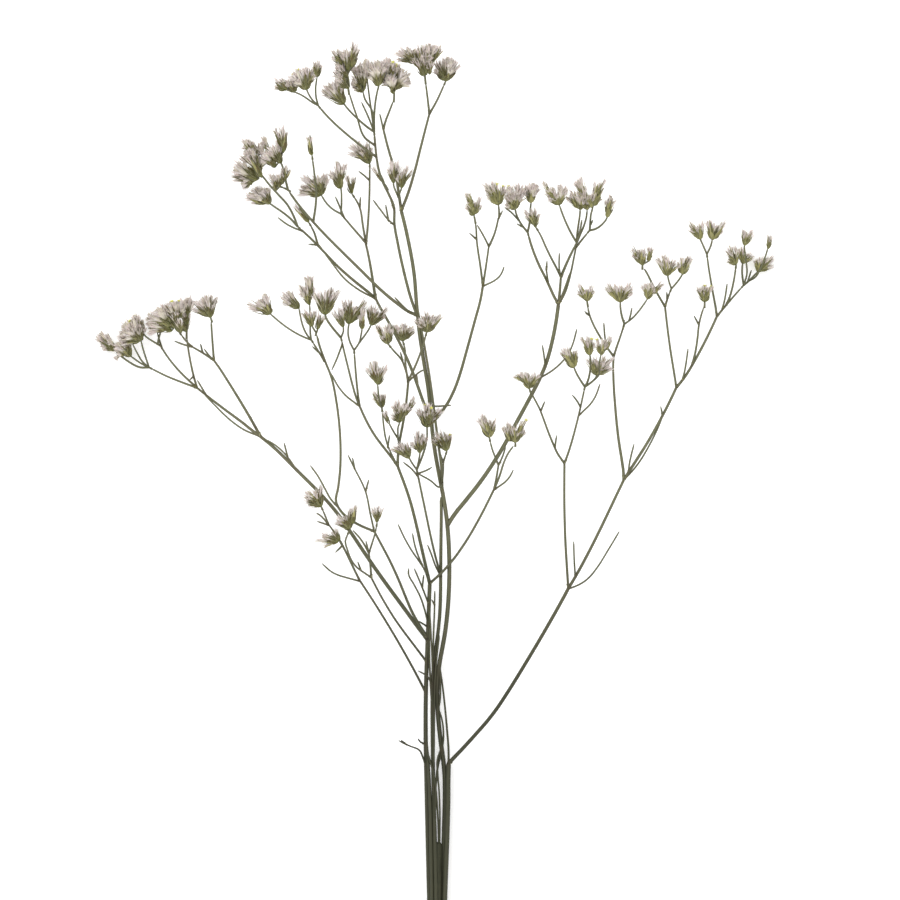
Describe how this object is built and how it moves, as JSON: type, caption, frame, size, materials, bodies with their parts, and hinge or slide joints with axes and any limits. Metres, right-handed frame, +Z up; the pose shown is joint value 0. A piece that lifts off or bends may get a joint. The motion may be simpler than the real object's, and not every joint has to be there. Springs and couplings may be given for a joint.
{
  "type": "gypsophila stem",
  "caption": "Dried flowering spray lying on its side: a thin stem that branches and fans out into clusters of small pointed buds with papery tops.",
  "frame": {"origin": "middle of the spray's box in X and Y, on the surface that it lies on", "axes": "+Y along the stem from its cut foot to the crown, +X to the right as the spray is seen from above, +Z up from the surface"},
  "size_m": [0.2476, 0.3439, 0.0533],
  "materials": {
    "dry_stem": "matt dried plant stem, olive grey-green, darker and browner at the foot",
    "dry_flower": "matt dried buds: olive brown bracts, pale papery tops"
  },
  "bodies": {
    "root": {"stem": "dry_stem", "crown_head_1": "dry_flower", "crown_head_2": "dry_flower", "crown_head_3": "dry_flower", "crown_head_4": "dry_flower", "crown_head_5": "dry_flower", "crown_head_6": "dry_flower", "crown_head_7": "dry_flower", "crown_head_8": "dry_flower", "shoulder_head_1": "dry_flower", "shoulder_head_2": "dry_flower", "shoulder_head_3": "dry_flower", "shoulder_head_4": "dry_flower", "shoulder_head_5": "dry_flower", "shoulder_head_6": "dry_flower", "shoulder_head_7": "dry_flower", "left_head_1": "dry_flower", "left_head_2": "dry_flower", "left_head_3": "dry_flower", "left_head_4": "dry_flower", "left_head_5": "dry_flower", "low_head_1": "dry_flower", "low_head_2": "dry_flower", "low_head_3": "dry_flower", "low_head_4": "dry_flower", "centre_head_1": "dry_flower", "centre_head_2": "dry_flower", "centre_head_3": "dry_flower", "centre_head_4": "dry_flower", "centre_head_5": "dry_flower", "centre_head_6": "dry_flower", "centre_head_7": "dry_flower", "inner_head_1": "dry_flower", "inner_head_2": "dry_flower", "inner_head_3": "dry_flower", "inner_head_4": "dry_flower", "upper_head_1": "dry_flower", "upper_head_2": "dry_flower", "upper_head_3": "dry_flower", "upper_head_4": "dry_flower", "upper_head_5": "dry_flower", "upper_head_6": "dry_flower", "front_head_1": "dry_flower", "front_head_2": "dry_flower", "right_head_1": "dry_flower", "right_head_2": "dry_flower", "right_head_3": "dry_flower", "right_head_4": "dry_flower", "right_head_5": "dry_flower", "right_head_6": "dry_flower", "right_head_7": "dry_flower", "right_head_8": "dry_flower", "right_head_9": "dry_flower", "right_head_10": "dry_flower"}
  },
  "joints": []
}
